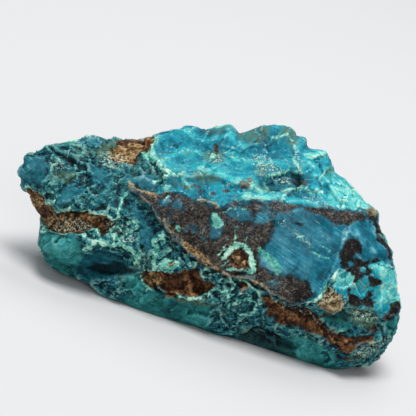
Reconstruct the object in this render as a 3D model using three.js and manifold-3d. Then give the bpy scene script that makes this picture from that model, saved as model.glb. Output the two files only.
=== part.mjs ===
// A rough hand specimen of chrysocolla: one broken piece of blue-green rock, about 20 cm long.
// Millimetres, +Z up, resting on its lower break at z = 0, with its long side along X and its best face
// towards -Y, leaning back a little.
import * as THREE from "three";
import { mergeVertices } from "three/addons/utils/BufferGeometryUtils.js";
import Module from "manifold-3d";

// How the stone sits. It is shaped in a slab frame that looks straight at its best face (x across the
// face, z up the face, y away through the thickness), then turned onto its lower break.
const ROLL_DEG = 18; // the face's own level runs this far down to the right of the resting line
const LEAN_DEG = 20; // the face leans back from upright
const FLOOR = -36.5; // height of the lower break below the slab frame's origin, once turned

// The outline of the stone seen square to its best face, clockwise from the left tip, as [x, z].
// The stretch below the resting line is cut off by the lower break.
const OUTLINE = [
  [-97, 36.5], [-95, 40.5], [-93.5, 44.5], [-86, 48], [-78, 51.3], [-67, 53.2], [-57, 56.2],
  [-53, 54], [-43, 53.6], [-36, 53], [-29, 55], [-21, 57.5], [-12, 59.7], [-2, 58], [8, 60.8],
  [12, 59], [15, 56.5], [23, 59], [30, 60.5], [38, 59.8], [42, 58], [44.5, 55], [47.5, 53.5],
  [48.5, 48.7], [57, 48], [59.5, 44], [63, 36], [66, 35], [71, 31], [78, 21], [84, 17.5],
  [85, 14.5], [84.5, 11], [87.5, 4], [91, -3], [93, -12], [94.5, -23], [95.7, -28], [94, -42],
  [91, -49.5], [86, -54], [80, -58.5], [73, -60], [64, -63], [52, -70], [30, -70], [10, -64],
  [-10, -57], [-24, -50], [-36, -41], [-44, -34], [-52, -27], [-60, -20], [-66, -16.5],
  [-72, -14.4], [-79, -12], [-83, -9], [-85, -4.5], [-86.5, 1], [-85.4, 6], [-85.5, 13],
  [-88, 18.5], [-91, 23.5], [-94.5, 28], [-95, 33.5],
];

// Break faces of the front. Each is a plane through at = [x, z, height towards the viewer], with
// slope = [gain along x, gain along z].
const FRONT_FACES = [
  { name: "polished slip face", at: [20, 0, 26], slope: [0.04, -0.06] },
  { name: "bright upper slope", at: [10, 21, 26], slope: [0.02, -0.85] },
  { name: "upper right slope", at: [52, 30, 18], slope: [-0.62, -0.62] },
  { name: "right facet", at: [62, -4, 27.9], slope: [-0.467, 0.179] },
  { name: "veined lower slope", at: [0, -20, 25], slope: [0.2, 0.74] },
  { name: "crusted left mass", at: [-60, 35, 21], slope: [0.25, -0.15] },
  { name: "left end", at: [-84, 30, 14], slope: [0.7, 0.05] },
  { name: "left top bevel", at: [-70, 49, 18], slope: [0.3, -1.6] },
  { name: "left lobe", at: [-72, -2, 16], slope: [0.3, 0.6] },
  { name: "lower right corner", at: [78, -45, 16], slope: [-0.5, 0.75] },
];

// Break faces of the back and the sides: towards = outward direction in the slab frame, and the
// distance of the plane from the slab frame's origin.
const BACK_FACES = [
  { name: "main back", towards: [0.05, 1, -0.08], distance: 44 },
  { name: "upper back", towards: [0.12, 0.75, 0.66], distance: 56 },
  { name: "top ledge", towards: [-0.25, 0.42, 0.87], distance: 69 },
  { name: "upper left back", towards: [-0.55, 0.72, 0.42], distance: 66 },
  { name: "left back", towards: [-0.82, 0.56, -0.12], distance: 83 },
  { name: "lower left back", towards: [-0.5, 0.45, -0.74], distance: 58 },
  { name: "right back", towards: [0.78, 0.62, 0.05], distance: 79 },
  { name: "upper right back", towards: [0.62, 0.5, 0.6], distance: 70 },
  { name: "lower right back", towards: [0.6, 0.62, -0.5], distance: 85 },
  { name: "lower back", towards: [-0.1, 0.86, -0.5], distance: 54 },
];
const FACE_ROUNDING = 1.5; // mm that break faces are rounded into each other

// Walls between the front and the back follow the outline, a little larger to make up for the rounded
// edges, and draw in behind a depth that wanders round the stone.
const WALL = { grown: 0.5, depth: 9, wander: 5, lobes: 3, taper: 0.2, smoothing: 0.03 };

// Hollows (depth > 0) and swellings (depth < 0): centre, half sizes, turn and depth.
const FRONT_HOLLOWS = [
  { name: "limonite hollow", at: [-66, 10.5], half: [20, 6], turn: -4, depth: 6 },
  { name: "left notch", at: [-88, 20], half: [8, 8], turn: -50, depth: 6 },
  { name: "cave under the crust", at: [-55, -9], half: [13, 6], turn: 8, depth: 9 },
  { name: "left lobe swelling", at: [-75, -3], half: [10, 7], turn: -10, depth: -3 },
  { name: "rust hollow", at: [-20, -18], half: [16, 5.5], turn: -8, depth: 4 },
  { name: "rust ledge", at: [-40, 49], half: [10, 6], turn: 0, depth: 4 },
  { name: "bowl in the slope", at: [-13, 46], half: [13, 9], turn: 0, depth: 4 },
  { name: "second bowl", at: [18, 40], half: [12, 8], turn: 15, depth: 2.5 },
  { name: "dark pocket", at: [38, 32], half: [13, 5], turn: 10, depth: 4 },
  { name: "right bowl", at: [56, 39], half: [8, 5], turn: -25, depth: 3 },
  { name: "green lens", at: [65, -38], half: [9, 6], turn: -30, depth: 3 },
  { name: "step below the slip face", at: [-36, 4], half: [11, 20], turn: 35, depth: 3 },
];
const BACK_HOLLOWS = [
  { name: "back scoop", at: [-18, 8], half: [30, 17], turn: 20, depth: 5 },
  { name: "back scallop", at: [40, 14], half: [22, 14], turn: -25, depth: 4.5 },
  { name: "back rib", at: [12, -10], half: [8, 30], turn: 35, depth: -3 },
];

// Gentle swells all over, as wave lengths and heights.
const SWELLS = [
  { length: 34, height: 0.7 },
  { length: 15, height: 0.5 },
];

// The mesh: a sphere of 20 * (detail + 1)^2 triangles, spread over a flattened oval so that they come
// out about even, each corner then moved out from the middle of the stone until it meets the surface.
const SPHERE_DETAIL = 20;
const OVAL = new THREE.Vector3(1, 0.45, 0.62);
const MIDDLE = new THREE.Vector3(2, 10, -2);
const REACH = 140; // mm from the middle, outside the stone in every direction
const SEARCH_STEPS = 26; // halvings of that reach

const radians = THREE.MathUtils.degToRad;

function crossing(from, to, angle) {
  // Distance from the origin to the segment from-to, along angle.
  const [dx, dz] = [Math.cos(angle), Math.sin(angle)];
  const [ex, ez] = [to[0] - from[0], to[1] - from[1]];
  return (from[0] * ez - from[1] * ex) / (dx * ez - dz * ex);
}

function outlineRadius(angle) {
  // The outline's distance from the origin along angle, by the segment that this direction meets.
  const turn = 2 * Math.PI;
  const bearing = ([x, z]) => Math.atan2(z, x);
  for (let i = 0; i < OUTLINE.length; i++) {
    const [from, to] = [OUTLINE[i], OUTLINE[(i + 1) % OUTLINE.length]];
    const span = (bearing(from) - bearing(to) + turn) % turn;
    const gone = (bearing(from) - angle + 2 * turn) % turn;
    if (gone <= span) return crossing(from, to, angle);
  }
  throw new Error("the outline has a gap");
}

function roundedMax(values, rounding) {
  // The largest value, with the steps from one to the next rounded off.
  const most = Math.max(...values);
  const sum = values.reduce((total, v) => total + Math.exp((v - most) / rounding), 0);
  return most + rounding * Math.log(sum);
}

function wallDistance(x, y, z) {
  // How far outside the outline's wall a point is. Behind the wall's edge the outline draws in and
  // its small jags are smoothed out.
  const angle = Math.atan2(z, x);
  const edge = WALL.depth + WALL.wander * Math.sin(WALL.lobes * angle + 1);
  const behind = Math.max(0, y - edge);
  const blur = Math.min(0.25, WALL.smoothing * behind);
  const radius =
    (outlineRadius(angle - blur) + 2 * outlineRadius(angle) + outlineRadius(angle + blur)) / 4;
  return Math.hypot(x, z) - radius - WALL.grown + WALL.taper * behind;
}

function frontDistance({ at, slope }, x, y, z) {
  const height = at[2] + slope[0] * (x - at[0]) + slope[1] * (z - at[1]);
  return (-y - height) / Math.hypot(1, slope[0], slope[1]);
}

function backDistance({ towards, distance }, x, y, z) {
  const dot = towards[0] * x + towards[1] * y + towards[2] * z;
  return dot / Math.hypot(...towards) - distance;
}

function hollowDepth(hollows, x, z) {
  return hollows.reduce((sum, { at, half, turn, depth }) => {
    const [dx, dz] = [x - at[0], z - at[1]];
    const [c, s] = [Math.cos(radians(turn)), Math.sin(radians(turn))];
    const reach = Math.hypot((dx * c + dz * s) / half[0], (dz * c - dx * s) / half[1]);
    return sum + depth * Math.exp(-0.7 * reach ** 4);
  }, 0);
}

function swell(x, y, z) {
  return SWELLS.reduce((sum, { length, height }) => {
    const k = (2 * Math.PI) / length;
    const a = Math.sin(k * x + 1.3 * Math.sin(0.7 * k * z + 0.4));
    const b = Math.sin(k * z + 1.1 * Math.sin(0.8 * k * y + 2.1));
    const c = Math.sin(k * y + 1.2 * Math.sin(0.6 * k * x + 4.0));
    return sum + (height * (a + b + c)) / 1.7;
  }, 0);
}

function outside({ x, y, z }) {
  // Millimetres outside the stone, in the slab frame; negative inside it.
  const front = FRONT_FACES.map((face) => frontDistance(face, x, y, z));
  const back = BACK_FACES.map((face) => backDistance(face, x, y, z));
  const frontMost = roundedMax(front, FACE_ROUNDING) + hollowDepth(FRONT_HOLLOWS, x, z);
  const backMost = roundedMax(back, FACE_ROUNDING) + hollowDepth(BACK_HOLLOWS, x, z);
  const faces = roundedMax([frontMost, backMost, wallDistance(x, y, z)], FACE_ROUNDING);
  return faces - swell(x, y, z);
}

function surfacePoint(direction) {
  // Where the surface lies in a direction from the middle, found by halving.
  let [inner, outer] = [0, REACH];
  const point = new THREE.Vector3();
  for (let i = 0; i < SEARCH_STEPS; i++) {
    const half = (inner + outer) / 2;
    point.copy(MIDDLE).addScaledVector(direction, half);
    if (outside(point) > 0) outer = half;
    else inner = half;
  }
  return point;
}

function looseSphere() {
  const sphere = new THREE.IcosahedronGeometry(1, SPHERE_DETAIL);
  sphere.deleteAttribute("normal");
  sphere.deleteAttribute("uv");
  return mergeVertices(sphere, 1e-5);
}

function shapedStone() {
  const geometry = looseSphere();
  const places = geometry.getAttribute("position");
  const direction = new THREE.Vector3();
  for (let i = 0; i < places.count; i++) {
    direction.fromBufferAttribute(places, i).multiply(OVAL).normalize();
    const { x, y, z } = surfacePoint(direction);
    places.setXYZ(i, x, y, z);
  }
  geometry.rotateY(radians(-ROLL_DEG));
  geometry.rotateX(radians(-LEAN_DEG));
  return geometry;
}

const wasm = await Module();
wasm.setup();

function solidOf(geometry) {
  const clean = geometry.clone();
  clean.deleteAttribute("normal");
  clean.deleteAttribute("uv");
  const merged = mergeVertices(clean, 1e-4);
  return new wasm.Manifold(
    new wasm.Mesh({
      numProp: 3,
      vertProperties: merged.getAttribute("position").array,
      triVerts: new Uint32Array(merged.index.array),
    }),
  );
}

function geometryOf(solid) {
  const { vertProperties, triVerts } = solid.getMesh();
  const geometry = new THREE.BufferGeometry();
  geometry.setAttribute("position", new THREE.BufferAttribute(vertProperties, 3));
  geometry.setIndex(new THREE.BufferAttribute(triVerts, 1));
  return geometry;
}

function restingStone() {
  // The stone cut off flat along its lower break, standing on z = 0 with its box centred on the origin.
  const below = new THREE.BoxGeometry(400, 400, 200);
  below.translate(0, 0, FLOOR - 100);
  const geometry = geometryOf(solidOf(shapedStone()).subtract(solidOf(below)));
  geometry.computeBoundingBox();
  const { min, max } = geometry.boundingBox;
  geometry.translate(-(min.x + max.x) / 2, -(min.y + max.y) / 2, -min.z);
  geometry.computeVertexNormals();
  return geometry;
}

const chrysocolla = new THREE.MeshStandardMaterial({
  name: "chrysocolla",
  color: new THREE.Color(0.1, 0.42, 0.47),
  roughness: 0.55,
  metalness: 0,
});

const specimen = new THREE.Group();
const stone = new THREE.Mesh(restingStone(), chrysocolla);
stone.name = "chrysocolla_stone";
specimen.add(stone);

export default specimen;
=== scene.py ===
"""Looks for a rough chrysocolla specimen: one broken rock with a slick blue slip face, on its lower break."""

import logging
import math
from dataclasses import dataclass
from enum import Enum

import bpy
import numpy as np
from mathutils import Matrix, Vector, noise


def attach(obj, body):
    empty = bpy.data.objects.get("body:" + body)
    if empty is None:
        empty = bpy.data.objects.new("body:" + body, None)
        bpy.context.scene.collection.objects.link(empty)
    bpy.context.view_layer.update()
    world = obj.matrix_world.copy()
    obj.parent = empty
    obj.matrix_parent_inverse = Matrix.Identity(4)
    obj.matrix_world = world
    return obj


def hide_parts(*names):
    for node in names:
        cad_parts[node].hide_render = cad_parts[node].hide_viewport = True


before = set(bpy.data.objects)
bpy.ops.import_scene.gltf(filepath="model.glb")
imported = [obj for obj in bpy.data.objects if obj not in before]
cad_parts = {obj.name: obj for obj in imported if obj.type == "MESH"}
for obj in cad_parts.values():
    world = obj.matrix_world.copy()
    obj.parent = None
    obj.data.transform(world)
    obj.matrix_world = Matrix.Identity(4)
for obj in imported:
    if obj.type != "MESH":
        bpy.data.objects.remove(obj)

LOG = logging.getLogger("chrysocolla")
NODE = "chrysocolla_stone"
MM = 1000.0  # millimetres in a metre
DEEPEST = 9.0  # the farthest that a distance inside a ground is carried, mm
FAR = 1e9
TINY = 1e-12
OVAL_SIDES = 12
SEAM = 40.0  # how far below the left bearings start over, in degrees
FACING = (-0.12, 0.3)  # where a normal's w is between these, the best face fades into made-up sides

Colour = tuple[float, float, float, float]
Shades = tuple[tuple[float, Colour], ...]
Point = tuple[float, float]
Inputs = dict[int | str, object]


def tint(red: float, green: float, blue: float) -> Colour:
    """Turns a colour given as display values, 0 to 255, into scene-linear values.

    Args:
        red: Red, 0 to 255.
        green: Green, 0 to 255.
        blue: Blue, 0 to 255.

    Returns:
        The linear colour with an alpha of one.
    """
    linear = [((c / 255 + 0.055) / 1.055) ** 2.4 if c > 10 else c / 255 / 12.92 for c in (red, green, blue)]
    return (linear[0], linear[1], linear[2], 1.0)


def shades(*rows: tuple[float, float, float, float]) -> Shades:
    """A colour ramp, from rows of a place on it and a colour's red, green and blue."""
    return tuple((place, tint(*rgb)) for place, *rgb in rows)


def ease(low: float, high: float, value: np.ndarray) -> np.ndarray:
    """Rises smoothly from 0 at low to 1 at high."""
    t = np.clip((value - low) / (high - low), 0.0, 1.0)
    return t * t * (3.0 - 2.0 * t)


def grain(points: np.ndarray, length: float, seed: float, octaves: int = 3) -> np.ndarray:
    """Smooth noise at slab points.

    Args:
        points: Slab points, mm.
        length: Size of the largest lumps, mm.
        seed: Which noise.
        octaves: Finer layers added on top.

    Returns:
        Values of about -1 to 1.
    """
    shift = Vector((seed, -1.9 * seed, 3.1 * seed))
    return np.array([noise.fractal(Vector(p) / length + shift, 0.9, 2.1, octaves) for p in points])


def distance_to(places: np.ndarray, start: np.ndarray, end: np.ndarray) -> np.ndarray:
    """The distance from each place to the segment from start to end."""
    along = end - start
    share = np.clip((places - start) @ along / (along @ along + TINY), 0.0, 1.0)
    return np.linalg.norm(places - start - share[:, None] * along, axis=1)


@dataclass(frozen=True)
class SlabFrame:
    """The frame that looks straight at the stone's best face: u across it, v up it, w out of it, in mm.

    The stone is rolled and leant back from there onto its lower break.
    """

    roll: float = math.radians(18.0)
    lean: float = math.radians(20.0)
    origin: tuple[float, float, float] = (-0.9, -11.4, 36.5)
    sight: float = 900.0
    centre: Point = (-1.0, 18.5)

    @property
    def axes(self) -> np.ndarray:
        """The u, v and w directions, one a row, in the stone's resting frame."""
        (cr, sr), (ce, se) = ((math.cos(a), math.sin(a)) for a in (self.roll, self.lean))
        return np.array([(cr, se * sr, ce * sr), (-sr, se * cr, ce * cr), (0.0, -ce, se)])

    def to_slab(self, points: np.ndarray) -> np.ndarray:
        """Turns resting points in metres into slab points in mm."""
        return (points * MM - np.array(self.origin)) @ self.axes.T

    def to_rest(self, points: np.ndarray) -> np.ndarray:
        """Turns slab points in mm into resting points in metres."""
        return (points @ self.axes + np.array(self.origin)) / MM

    def drawn(self, points: np.ndarray) -> np.ndarray:
        """Where slab points fall on the plane w = 0, seen from in front of the best face.

        Args:
            points: Slab points, mm.

        Returns:
            Their u and v on that plane, mm.
        """
        centre = np.array(self.centre)
        grow = self.sight / (self.sight - points[:, 2:3])
        return centre + (points[:, :2] - centre) * grow


SLAB = SlabFrame()


class Ground(Enum):
    """What the rock is made of, and where its painted shade and painted highlights lie. Each is carried on
    the mesh as a distance in mm inside its edge.
    """

    AZURE = "azure"
    GREEN = "green"
    SLIP = "slip"
    BLACK = "black"
    BROWN = "brown"
    TAN = "tan"
    MINT = "mint"
    # Hollows, sunk and darkened with painted shade.
    DARK = "dark"
    # Paler places, partly painted highlights.
    PALE = "pale"
    GLASS = "glass"


@dataclass(frozen=True)
class Patch:
    """A closed patch on the best face, as corners in u and v. A cut takes away from the marks before it."""

    corners: tuple[Point, ...]
    cut: bool = False

    def inside(self, places: np.ndarray) -> np.ndarray:
        """How far inside the patch each place is, in mm, negative outside it."""
        ring = np.array(self.corners)
        far = np.full(len(places), FAR)
        odd = np.zeros(len(places), bool)
        for start, end in zip(ring, np.roll(ring, -1, axis=0)):
            far = np.minimum(far, distance_to(places, start, end))
            rising = (start[1] > places[:, 1]) != (end[1] > places[:, 1])
            run = (end[0] - start[0]) / (end[1] - start[1] + TINY)
            odd ^= rising & (places[:, 0] < run * (places[:, 1] - start[1]) + start[0])
        return np.where(odd, far, -far)


@dataclass(frozen=True)
class Vein:
    """A line on the best face, as points in u and v, and its width in mm."""

    width: float
    route: tuple[Point, ...]
    cut: bool = False

    def from_middle(self, places: np.ndarray) -> np.ndarray:
        """How far each place is from the vein's middle line, in mm."""
        line = np.array(self.route)
        return np.min([distance_to(places, start, end) for start, end in zip(line[:-1], line[1:])], axis=0)

    def inside(self, places: np.ndarray) -> np.ndarray:
        """How far inside the vein each place is, in mm, negative outside it."""
        return self.width / 2 - self.from_middle(places)


@dataclass(frozen=True)
class Scarp:
    """A broken step on the best face: the rock left of its route stands higher and falls away from it."""

    height: float
    reach: float
    route: tuple[Point, ...]
    edge: float = 0.7
    fade: float = 7.0

    def lift(self, places: np.ndarray) -> np.ndarray:
        """How far the step lifts each place, in mm."""
        line = np.array(self.route)
        nearest = np.full(len(places), FAR)
        side = np.zeros(len(places))
        for start, end in zip(line[:-1], line[1:]):
            far = distance_to(places, start, end)
            (run, rise), away = end - start, places - start
            turn = np.sign(run * away[:, 1] - rise * away[:, 0])
            side = np.where(far < nearest, turn, side)
            nearest = np.minimum(nearest, far)
        beyond = side * nearest
        ends = np.minimum(*(np.linalg.norm(places - end, axis=1) for end in (line[0], line[-1])))
        step = ease(-self.edge, self.edge, beyond) * (1 - ease(0.0, self.reach, beyond))
        return self.height * step * ease(0.0, self.fade, ends)


Marks = tuple[Patch | Vein, ...]


def patch(*corners: Point, cut: bool = False) -> Patch:
    """A patch with those corners."""
    return Patch(corners, cut)


def vein(width: float, *route: Point) -> Vein:
    """A vein of that width along a route."""
    return Vein(width, route)


def scarp(height: float, reach: float, *route: Point) -> Scarp:
    """A step of that height along a route, which falls away over its reach."""
    return Scarp(height, reach, route)


def loop(u: float, v: float, half_u: float, half_v: float, turn: float = 0.0) -> tuple[Point, ...]:
    """The corners of an oval round (u, v), turned by turn degrees, closed by its first corner."""
    c, s = math.cos(math.radians(turn)), math.sin(math.radians(turn))
    angles = (2 * math.pi * step / OVAL_SIDES for step in range(OVAL_SIDES + 1))
    spots = ((half_u * math.cos(a), half_v * math.sin(a)) for a in angles)
    return tuple((u + x * c - y * s, v + x * s + y * c) for x, y in spots)


def ovals(*sizes: tuple[float, ...], cut: bool = False) -> list[Patch]:
    """Oval patches, each from its middle, half sizes and turn."""
    return [Patch(loop(*size), cut) for size in sizes]


# The stone's edge, seen straight at its best face, clockwise from the left lobe to the right lower end.
OUTLINE: tuple[Point, ...] = (
    (-66, -14), (-70, -14.6), (-75, -13.2), (-78.7, -11.6), (-82.5, -8), (-84.5, -4.4), (-86.2, -1),
    (-86.4, 1), (-85.5, 6), (-85.4, 11), (-86, 15.6), (-89, 19.2), (-90.8, 23.3), (-93.3, 26.4),
    (-95.1, 29.5), (-95.3, 33.6), (-97, 36.3), (-96, 38.5), (-94.2, 42.6), (-93.7, 45), (-90, 46.6),
    (-84.7, 49), (-80.3, 51), (-75, 51.8), (-70, 52.7), (-65, 54.2), (-60, 55.5), (-56.5, 56.1),
    (-54.6, 53.6), (-50, 53.6), (-46.6, 54.4), (-44, 53.6), (-40, 53.4), (-36, 52.8), (-33, 54.2),
    (-29.5, 54.4), (-28, 55.7), (-24.7, 56), (-20, 57.8), (-15.8, 58.3), (-11.7, 59.8), (-8, 59.4),
    (-4, 58.1), (0, 58.3), (2, 59.3), (6, 60.3), (8, 60.9), (10.7, 60.3), (13, 58), (14.8, 55.9),
    (17, 56.7), (20, 57.8), (24, 59.2), (27.3, 60.4), (34, 60.4), (38, 60), (40.5, 59.3), (42.4, 58),
    (44, 54.9), (45.5, 54.9), (47.6, 53.6), (48.6, 52), (48.4, 49), (50, 48.4), (56, 48), (58.5, 46.8),
    (59.8, 43.6), (61.6, 40), (63, 36.3), (65.2, 34.9), (67, 33.7), (70, 31), (73, 27.5), (76.2, 24.6),
    (78.4, 21.4), (81.6, 19.4), (84.4, 17), (85.2, 15), (84.5, 11), (85.8, 8.4), (88, 4), (89.5, 0.5),
    (91.7, -4.3), (92, -8.2), (93.4, -14), (93.8, -18.5), (94.8, -23.5), (95.8, -27.5), (95.4, -30.7),
    (95, -34), (94.4, -39.6), (92.8, -45.5), (91.2, -49.5), (89, -51.7), (86.7, -53.8), (83.6, -57),
    (80.5, -58.9), (76, -60), (72, -60.2),
)

# The slip face, and the lip along its lower left edge.
LIP_ROUTE: tuple[Point, ...] = (
    (-40, 28.5), (-34, 24), (-30, 20.5), (-27, 16), (-24, 11), (-20, 6), (-18, 2), (-14, -1), (-9, -5),
    (-5, -8), (0, -11), (5, -14), (10, -16), (18, -17), (25, -20), (30, -24), (36, -28), (41, -31),
)
LIP = Vein(1.6, LIP_ROUTE)
SLIP_FACE = patch(
    *LIP_ROUTE[:14], (21, -18), *LIP_ROUTE[14:], (45, -30.5), (50, -28), (54, -25), (59, -19.5), (64, -13),
    (72, -12), (80, -10), (88, -8), (93, -14), (93, -6), (90, 1), (86, 9), (84, 13), (79, 18), (70, 17.7),
    (62, 18.5), (50, 19.8), (43, 20.3), (36, 22), (30, 22.3), (22, 22.3), (17, 21), (12, 22), (5, 19),
    (-2, 21.5), (-6, 22), (-10, 24), (-14, 25.5), (-28, 26),
)

# The bright upper slope and the right end.
AZURE_MARKS: Marks = (
    patch(
        (-27, 60), (-27, 53), (-29, 47), (-28, 43), (-23, 37.5), (-18, 34.7), (-24, 31), (-28, 26),
        (-14, 25.5), (-6, 22), (5, 19), (12, 22), (22, 22.3), (36, 22), (43, 20.3), (62, 18.5), (79, 18),
        (90, 22), (90, 70), (-27, 70),
    ),
    patch(
        (60, -19), (64, -12.5), (72, -11), (80, -9.5), (88, -7), (92, -4), (102, -4), (102, -34), (92, -33),
        (84, -35), (76, -31), (68, -27), (62, -23),
    ),
)
# The left lobe, the right bottom end and other smooth green places.
GREEN_MARKS: Marks = (
    patch(
        (-90, 5), (-80, 6), (-76, 4.5), (-70, 3.5), (-65, 2), (-63, -3), (-64, -9), (-68, -13), (-70, -20),
        (-95, -20),
    ),
    patch(
        (55, -34), (58, -33.5), (64, -34), (67, -33.5), (70, -37), (71, -42), (68, -43), (63, -40),
        (58, -39), (55, -36),
    ),
    patch((56, 35), (59, 38.5), (62, 38), (63, 35), (60, 33)),
    patch((86, -38), (92, -37), (102, -38), (98, -48), (90, -46)),
    patch((30, -60), (36, -46), (46, -46), (54, -49), (62, -54), (66, -66), (50, -72)),
    patch((-43, -14), (-37, -14.5), (-33, -20), (-32, -21), (-37, -25), (-42, -22)),
    patch((-36, -23), (-28, -23), (-18, -27), (-8, -28), (0, -31), (0, -46), (-44, -46), (-44, -26)),
)
# Black manganese crust on and round the slip face, with specks on the slope, and blue left showing through.
BLACK_MARKS: Marks = (
    patch(
        (-27, 16), (-31, 21), (-36, 26), (-28, 25), (-20, 26), (-14, 25.4), (-10, 23), (-8, 22), (-2, 20),
        (5, 18), (10, 19), (14, 21), (19, 20.5), (26, 21.5), (34, 21.5), (40, 21), (50, 19.5), (62, 18),
        (74, 17.5), (84, 15), (85, 10), (80, 13), (76, 12.5), (70, 10.5), (64, 10.5), (60, 12.5),
        (56, 14.5), (52, 16.8), (46, 18), (38, 17), (34, 15.5), (32, 10), (31, 4), (28, -2), (25, -5),
        (25, -10), (30, -13), (36, -13.6), (42, -15.5), (47, -17), (50, -18.5), (52.4, -24.5), (50, -27.5),
        (46, -29.5), *LIP_ROUTE[:3:-1],
    ),
    patch(
        (68, 1.8), (70.6, 3.6), (74, 3.2), (75.6, -0.7), (76, -4), (73, -3.6), (72.3, -5.7), (74, -7.4),
        (77, -8.2), (80, -7.4), (86, -7), (85.6, -8.6), (79, -9.4), (80, -12), (81, -13.2), (80, -14),
        (81.4, -15.6), (84.3, -16.5), (86, -19), (83.5, -20.4), (79.8, -20.8), (78.5, -18), (77, -15.6),
        (75, -17.3), (73, -19), (72.3, -18.5), (73.5, -15.6), (71.5, -15.2), (67.3, -12.7), (64.8, -9.8),
        (65.2, -8.2), (64, -6.5), (64.4, -4), (66.5, -1.5),
    ),
    patch(
        (66.8, -19.6), (69.8, -22.3), (69.2, -23.6), (73.5, -25), (75.6, -26.6), (77.3, -23.5), (81, -22.5),
        (82, -24.8), (81, -26.4), (82.8, -28), (82.2, -31), (79, -30.6), (76, -29), (74, -31),
        (70.6, -29.3), (68.6, -27.3), (67.5, -24.5),
    ),
    patch((97, -27), (93.4, -28.9), (90.5, -32.2), (85.6, -35.4), (85, -37.2), (89.7, -37.4), (97, -33)),
    patch((77, -42), (83, -39), (84, -42), (80, -44), (76, -44)),
    patch((62, -55), (66, -54.5), (71, -55.5), (70, -57.5), (64, -57.5)),
    vein(3.4, (84, 13), (86.5, 7), (90, 0), (93, -8), (94.5, -14)),
    vein(1.8, (60, -48), (64, -52), (70, -51), (77, -49)),
    vein(1.2, (53.5, -37), (56.5, -34.8), (60, -34.2)),
    vein(1, (66, -35.5), (69, -38)),
    *ovals(
        (44.5, 10.8, 2, 0.9, -15), (3, 47.5, 1.6, 2.6, 10), (16.5, 29, 3, 1.3, -10), (8.5, 27, 2, 1.2),
        (2, 26.2, 1.2, 0.8), (-12, 28.4, 1.4, 0.7), (19, 31, 1, 0.8), (-4, 27.4, 1.5, 0.6),
        (46, 31, 1.6, 2.2), (38, 25.5, 1, 0.6), (-7, 29.5, 2.2, 0.8), (44.5, 38, 0.9, 1.8),
        (42, 32, 1.4, 0.9), (-63.5, 34, 0.8, 1.3), (16.5, -23.5, 2.1, 1.6), (84, 16, 1.4, 1.4),
    ),
    patch((-25.5, 20), (-24, 24), (-20.5, 25), (-19.5, 21.5), (-22, 19), cut=True),
    patch((-17, 24), (-14.5, 23.5), (-14, 19.5), (-16.5, 18), (-18.5, 19.5), cut=True),
    patch((1, 16), (4, 16.5), (7, 13), (7, 9.5), (5, 5), (1, 3), (0, 8), cut=True),
    patch((8, 19), (13, 19.5), (19, 17), (21, 13), (14, 12), (9, 13.5), cut=True),
    patch((22, 11), (24, 16), (29, 16), (30, 12), (26, 10), cut=True),
    *ovals((76, -5.5, 1.3, 1.1), (76, -12.5, 1.8, 1.3), (71, -10, 1.4, 1), cut=True),
)
# Limonite hollows.
BROWN_MARKS: Marks = (
    patch(
        (-53, 60), (-44, 60), (-36, 60), (-28.5, 58), (-27.5, 54), (-28.5, 48), (-31, 46), (-35, 47),
        (-37, 44.5), (-36, 42), (-38, 40.5), (-42, 41), (-46, 41.5), (-50, 42), (-50, 45.5), (-52, 46),
        (-48, 49), (-47, 52),
    ),
    patch(
        (-77, 16.5), (-73, 15.5), (-70, 16), (-66, 15), (-62, 16), (-57, 16), (-52, 14.5), (-47, 12.5),
        (-47, 10), (-49, 8), (-50, 5), (-54, 4), (-56, 8), (-59, 8.5), (-62, 7), (-63, 4.5), (-66, 3.8),
        (-70, 5), (-75, 5.2), (-79, 7.5), (-83, 9), (-87, 13), (-80, 14),
    ),
    patch(
        (-96, 28.5), (-90, 29), (-86, 27), (-83, 25), (-82, 21.5), (-78, 20), (-77, 17), (-80, 14),
        (-84, 13), (-88, 14), (-94, 18), (-97, 24),
    ),
    patch(
        (-34, -15), (-32, -13), (-27, -12.5), (-22, -13), (-18, -14), (-14, -15), (-10, -15), (-8, -12),
        (-6, -11.5), (-5, -14), (-6, -18), (-2, -20), (2, -21), (0, -23), (-4, -25), (-6, -26.5),
        (-11, -25), (-15, -24.5), (-17, -27), (-21, -25.5), (-23, -23), (-25, -21.5), (-30, -22),
        (-33, -19),
    ),
    patch((11, -2.5), (16, -2.5), (19, -6), (19, -10.5), (14, -11), (10, -9), (9, -5)),
    patch(
        (28, -27), (33, -31), (40, -33), (47, -33), (53, -35), (57, -39), (62, -44), (68, -45), (75, -45),
        (80, -44), (79, -47), (74, -49), (70, -51), (66, -52.5), (63, -51), (60, -48), (56, -45), (52, -42),
        (45, -41), (38, -40), (33, -38), (28, -35),
    ),
    *ovals((16.5, -20.5, 2.6, 1.4), (28.5, -28.5, 2, 1.6)),
)
# The paler, sandy limonite.
TAN_MARKS: Marks = (
    patch(
        (58, -22.3), (60.3, -21), (62.3, -23.5), (64.4, -25.6), (65.7, -29), (67, -32.4), (64, -33.5),
        (59, -33), (55, -31), (53.2, -29), (55, -26),
    ),
    patch((-52, 44), (-46, 50), (-40, 54), (-33, 54), (-34, 49), (-38, 43), (-46, 42)),
    patch((-85, 13), (-76, 14), (-68, 13.5), (-65, 11.5), (-68, 7.5), (-74, 7), (-80, 9), (-85, 10)),
    vein(1, (-5, 22.6), (0, 21.6), (3.2, 20), (4, 18)),
    vein(1.6, (-40, 31), (-36, 28), (-32, 26.5), (-28, 25.5)),
    vein(0.8, (-23, 12.5), (-19, 6.5)),
    vein(3.2, (-13, 0), (-9, -2), (-5, -5.5), (-1, -9.5)),
    vein(0.7, (-1, -10.5), (5, -13), (10, -15.2), (18, -16.4), (25, -19.2), (31, -24.4), (37, -29)),
    *ovals(
        (13, -5.5, 2, 2.6), (16.5, -8.5, 1.8, 1.5), (-28.5, -17, 5, 2.6, -8), (-80.5, 12.5, 4, 2.4, 20),
        (82, 17, 3, 1.8), (-88, 22, 4, 3, -40), (-56, 13.4, 5, 1.6), (-20, -9.3, 2.6, 1.5, -5),
    ),
)
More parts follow.
